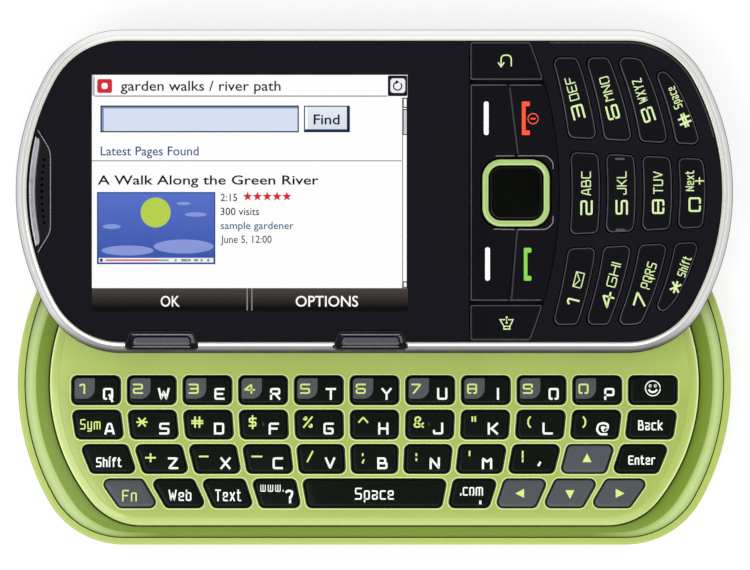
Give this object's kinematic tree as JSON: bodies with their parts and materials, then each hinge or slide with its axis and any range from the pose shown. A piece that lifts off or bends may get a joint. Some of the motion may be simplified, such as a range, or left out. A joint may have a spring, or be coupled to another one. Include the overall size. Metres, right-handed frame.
{
  "type": "sliding mobile phone",
  "caption": "Side-sliding phone with a landscape screen and number keys on the upper half and a full letter keyboard on the lower half, shown slid open.",
  "frame": {"origin": "middle of the lower half's flat back, on its rest face", "axes": "+X along the long side towards the number keys, +Y the way the screen half slides open, +Z out of the screen"},
  "size_m": [0.11, 0.0792, 0.0155],
  "materials": {
    "green_shell": "glossy moulded plastic",
    "green_channel": "glossy moulded plastic",
    "black_gloss": "high gloss",
    "black_satin": "satin",
    "chrome": "polished",
    "green_ring": "satin with polished edges",
    "screen": "lit display",
    "window_glass": "clear gloss over black",
    "grey_cap": "gloss",
    "rubber": "matte",
    "board": "solder mask",
    "steel": "brushed",
    "battery_wrap": "matte label",
    "lens": "polished",
    "copper": "foil",
    "film": "polyimide film"
  },
  "bodies": {
    "lower_half": {"rear_housing": "green_shell", "battery_cover": "green_shell", "battery": "battery_wrap", "deck_surround": "green_channel", "keyboard_deck": "green_shell", "main_board": "board", "keyboard_dome_sheet": "film", "keyboard_mat": "rubber", "slide_base_plate": "steel", "camera_module": "black_satin", "camera_window": "lens", "loudspeaker": "black_satin", "vibration_motor": "steel", "antenna": "copper", "headset_jack": "black_satin", "charging_port": "steel", "housing_screws": "steel"},
    "upper_half": {"chrome_rim": "chrome", "front_cover": "black_gloss", "display_window": "window_glass", "display_panel": "screen", "slider_back_cover": "black_satin", "slide_rail_plate": "steel", "earpiece_grille": "black_satin", "earpiece_receiver": "black_satin", "keypad_board": "board", "keypad_mat": "rubber", "flex_cable": "film", "slider_screws": "steel"},
    "spring": {"slide_spring": "steel"},
    "card_door": {"memory_card_door": "green_shell"},
    "camera_button": {"camera_key": "chrome"},
    "volume_button": {"volume_rocker": "chrome"},
    "press_keys_row_q": {"keys_row_q": "black_gloss"},
    "press_keys_row_a": {"keys_row_a": "black_gloss"},
    "press_keys_row_z": {"keys_row_z": "black_gloss"},
    "press_keys_row_bottom": {"keys_row_bottom": "black_gloss"},
    "press_arrow_keys": {"arrow_keys": "grey_cap"},
    "press_space_bar": {"space_bar": "black_gloss"},
    "press_key_1": {"key_1": "black_gloss"},
    "press_key_2": {"key_2": "black_gloss"},
    "press_key_3": {"key_3": "black_gloss"},
    "press_key_4": {"key_4": "black_gloss"},
    "press_key_5": {"key_5": "black_gloss"},
    "press_key_6": {"key_6": "black_gloss"},
    "press_key_7": {"key_7": "black_gloss"},
    "press_key_8": {"key_8": "black_gloss"},
    "press_key_9": {"key_9": "black_gloss"},
    "press_key_star": {"key_star": "black_gloss"},
    "press_key_0": {"key_0": "black_gloss"},
    "press_key_hash": {"key_hash": "black_gloss"},
    "press_back_key": {"back_key": "black_gloss"},
    "press_speaker_key": {"speaker_key": "black_gloss"},
    "press_softkey_rocker": {"softkey_rocker": "black_gloss"},
    "press_call_rocker": {"call_rocker": "black_gloss"},
    "press_nav_ring": {"nav_ring": "green_ring"},
    "press_nav_collar": {"nav_collar": "rubber"},
    "press_ok_key": {"ok_key": "black_gloss"},
    "press_edge_key_left": {"edge_key_left": "grey_cap"},
    "press_edge_key_right": {"edge_key_right": "grey_cap"}
  },
  "joints": [
    {"name": "slide", "type": "slide", "parent": "lower_half", "child": "upper_half", "axis": [0, 1, 0], "range_m": [-0.0296, 0]},
    {"name": "spring_swing", "type": "hinge", "parent": "lower_half", "child": "spring", "pos_m": [-0.008, 0.0148, 0.0087], "axis": [0, 0, 1], "range_deg": [-85.74, 0]},
    {"name": "card_door_hinge", "type": "hinge", "parent": "lower_half", "child": "card_door", "pos_m": [0.03, -0.0248, 0.0023], "axis": [1, 0, 0], "range_deg": [0, 90]},
    {"name": "camera_button_press", "type": "slide", "parent": "lower_half", "child": "camera_button", "axis": [0, -1, 0], "range_m": [0, 0.0003], "stiffness_N_per_m": 800},
    {"name": "volume_rock", "type": "hinge", "parent": "lower_half", "child": "volume_button", "pos_m": [0.03, 0.0221, 0.004], "axis": [0, 0, 1], "range_deg": [-1.2, 1.2], "stiffness_Nm_per_rad": 0.2},
    {"name": "keys_row_q_press", "type": "slide", "parent": "lower_half", "child": "press_keys_row_q", "axis": [0, 0, -1], "range_m": [0, 0.0002], "stiffness_N_per_m": 1500},
    {"name": "keys_row_a_press", "type": "slide", "parent": "lower_half", "child": "press_keys_row_a", "axis": [0, 0, -1], "range_m": [0, 0.0002], "stiffness_N_per_m": 1500},
    {"name": "keys_row_z_press", "type": "slide", "parent": "lower_half", "child": "press_keys_row_z", "axis": [0, 0, -1], "range_m": [0, 0.0002], "stiffness_N_per_m": 1500},
    {"name": "keys_row_bottom_press", "type": "slide", "parent": "lower_half", "child": "press_keys_row_bottom", "axis": [0, 0, -1], "range_m": [0, 0.0002], "stiffness_N_per_m": 1500},
    {"name": "arrow_keys_press", "type": "slide", "parent": "lower_half", "child": "press_arrow_keys", "axis": [0, 0, -1], "range_m": [0, 0.0002], "stiffness_N_per_m": 1500},
    {"name": "space_bar_press", "type": "slide", "parent": "lower_half", "child": "press_space_bar", "axis": [0, 0, -1], "range_m": [0, 0.0002], "stiffness_N_per_m": 1500},
    {"name": "key_1_press", "type": "slide", "parent": "upper_half", "child": "press_key_1", "axis": [0, 0, -1], "range_m": [0, 0.00025], "stiffness_N_per_m": 900},
    {"name": "key_2_press", "type": "slide", "parent": "upper_half", "child": "press_key_2", "axis": [0, 0, -1], "range_m": [0, 0.00025], "stiffness_N_per_m": 900},
    {"name": "key_3_press", "type": "slide", "parent": "upper_half", "child": "press_key_3", "axis": [0, 0, -1], "range_m": [0, 0.00025], "stiffness_N_per_m": 900},
    {"name": "key_4_press", "type": "slide", "parent": "upper_half", "child": "press_key_4", "axis": [0, 0, -1], "range_m": [0, 0.00025], "stiffness_N_per_m": 900},
    {"name": "key_5_press", "type": "slide", "parent": "upper_half", "child": "press_key_5", "axis": [0, 0, -1], "range_m": [0, 0.00025], "stiffness_N_per_m": 900},
    {"name": "key_6_press", "type": "slide", "parent": "upper_half", "child": "press_key_6", "axis": [0, 0, -1], "range_m": [0, 0.00025], "stiffness_N_per_m": 900},
    {"name": "key_7_press", "type": "slide", "parent": "upper_half", "child": "press_key_7", "axis": [0, 0, -1], "range_m": [0, 0.00025], "stiffness_N_per_m": 900},
    {"name": "key_8_press", "type": "slide", "parent": "upper_half", "child": "press_key_8", "axis": [0, 0, -1], "range_m": [0, 0.00025], "stiffness_N_per_m": 900},
    {"name": "key_9_press", "type": "slide", "parent": "upper_half", "child": "press_key_9", "axis": [0, 0, -1], "range_m": [0, 0.00025], "stiffness_N_per_m": 900},
    {"name": "key_star_press", "type": "slide", "parent": "upper_half", "child": "press_key_star", "axis": [0, 0, -1], "range_m": [0, 0.00025], "stiffness_N_per_m": 900},
    {"name": "key_0_press", "type": "slide", "parent": "upper_half", "child": "press_key_0", "axis": [0, 0, -1], "range_m": [0, 0.00025], "stiffness_N_per_m": 900},
    {"name": "key_hash_press", "type": "slide", "parent": "upper_half", "child": "press_key_hash", "axis": [0, 0, -1], "range_m": [0, 0.00025], "stiffness_N_per_m": 900},
    {"name": "back_key_press", "type": "slide", "parent": "upper_half", "child": "press_back_key", "axis": [0, 0, -1], "range_m": [0, 0.00025], "stiffness_N_per_m": 900},
    {"name": "speaker_key_press", "type": "slide", "parent": "upper_half", "child": "press_speaker_key", "axis": [0, 0, -1], "range_m": [0, 0.00025], "stiffness_N_per_m": 900},
    {"name": "edge_key_left_press", "type": "slide", "parent": "upper_half", "child": "press_edge_key_left", "axis": [0, 0, -1], "range_m": [0, 0.00025], "stiffness_N_per_m": 900},
    {"name": "edge_key_right_press", "type": "slide", "parent": "upper_half", "child": "press_edge_key_right", "axis": [0, 0, -1], "range_m": [0, 0.00025], "stiffness_N_per_m": 900},
    {"name": "ok_key_press", "type": "slide", "parent": "upper_half", "child": "press_ok_key", "axis": [0, 0, -1], "range_m": [0, 0.00025], "stiffness_N_per_m": 900},
    {"name": "softkey_rocker_rock", "type": "hinge", "parent": "upper_half", "child": "press_softkey_rocker", "pos_m": [0.018, 0.0296, 0.01395], "axis": [1, 0, 0], "range_deg": [-0.9, 0.9], "stiffness_Nm_per_rad": 0.25},
    {"name": "call_rocker_rock", "type": "hinge", "parent": "upper_half", "child": "press_call_rocker", "pos_m": [0.025, 0.0296, 0.01395], "axis": [1, 0, 0], "range_deg": [-0.9, 0.9], "stiffness_Nm_per_rad": 0.25},
    {"name": "nav_collar_rock", "type": "hinge", "parent": "upper_half", "child": "press_nav_collar", "pos_m": [0.0217, 0.02935, 0.0133], "axis": [0, 1, 0], "range_deg": [-1.2, 1.2], "stiffness_Nm_per_rad": 0.08},
    {"name": "nav_ring_rock", "type": "hinge", "parent": "press_nav_collar", "child": "press_nav_ring", "pos_m": [0.0217, 0.02935, 0.01395], "axis": [1, 0, 0], "range_deg": [-1.2, 1.2], "stiffness_Nm_per_rad": 0.08}
  ],
  "couplings": [
    {"joint": "spring_swing", "follows": "slide", "rad_per_m": 50.436}
  ]
}
